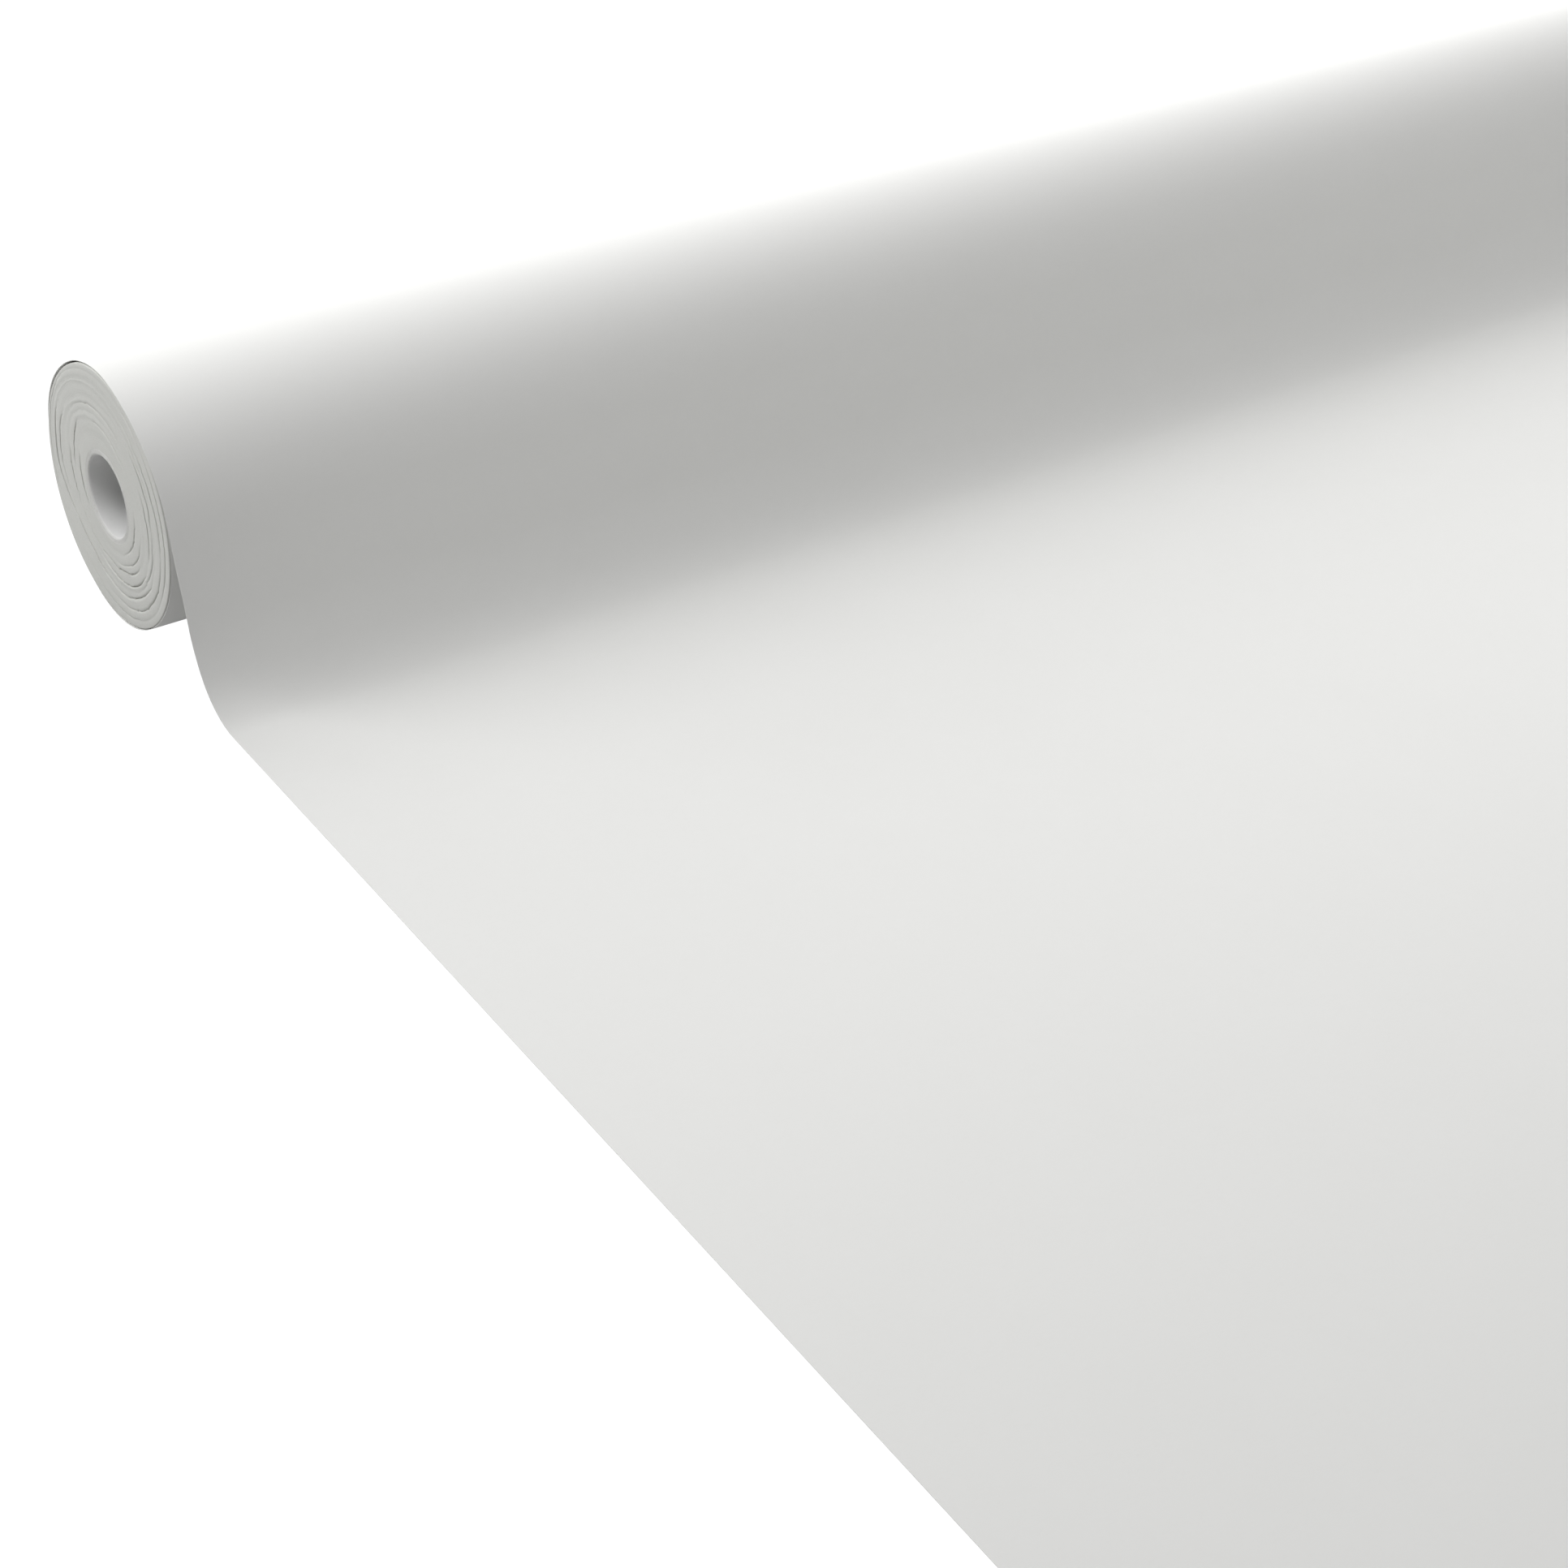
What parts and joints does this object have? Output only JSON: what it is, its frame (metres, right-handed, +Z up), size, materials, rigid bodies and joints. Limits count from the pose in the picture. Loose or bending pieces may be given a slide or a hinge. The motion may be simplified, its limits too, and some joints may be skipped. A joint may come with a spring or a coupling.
{
  "type": "backdrop paper roll",
  "caption": "Wide roll of plain white backdrop paper on a board core, its leading sheet drawn off the top, bent down to the floor and laid out flat in front.",
  "frame": {"origin": "middle of the core's bore axis, halfway along the roll", "axes": "+X along the roll, +Z up, and the paper comes off the top of the roll and lies on the floor towards -Y"},
  "size_m": [1.35, 1.1629, 0.1659],
  "materials": {
    "backdrop_paper": "matt, uncoated, fine tooth",
    "core_liner_paper": "smooth, pale grey-white",
    "core_board": "pale grey-white core board",
    "core_wrap_paper": "smooth white wrap",
    "adhesive_tape": "translucent double-sided tape"
  },
  "bodies": {
    "sheet": {"outer_turn": "backdrop_paper", "shoulder_bend": "backdrop_paper", "falling_sheet": "backdrop_paper", "floor_bend": "backdrop_paper", "floor_sheet": "backdrop_paper"},
    "roll": {"core_liner": "core_liner_paper", "core_ply_1": "core_board", "core_ply_2": "core_board", "core_ply_3": "core_board", "core_ply_4": "core_board", "core_ply_5": "core_board", "core_ply_6": "core_board", "core_wrap": "core_wrap_paper", "start_tape_1": "adhesive_tape", "start_tape_2": "adhesive_tape", "start_tape_3": "adhesive_tape", "wound_paper": "backdrop_paper"},
    "lead": {"leading_edge": "backdrop_paper"}
  },
  "joints": [
    {"name": "roll_spin", "type": "hinge", "parent": "sheet", "child": "roll", "pos_m": [0, 0, 0], "axis": [1, 0, 0], "range_deg": [-315, 720]},
    {"name": "sheet_pull", "type": "slide", "parent": "sheet", "child": "lead", "axis": [0, -1, 0], "range_m": [-0.4565, 1.0435], "deforming": ["floor_sheet"]}
  ],
  "couplings": [
    {"joint": "sheet_pull", "follows": "roll_spin", "m_per_rad": 0.083}
  ]
}
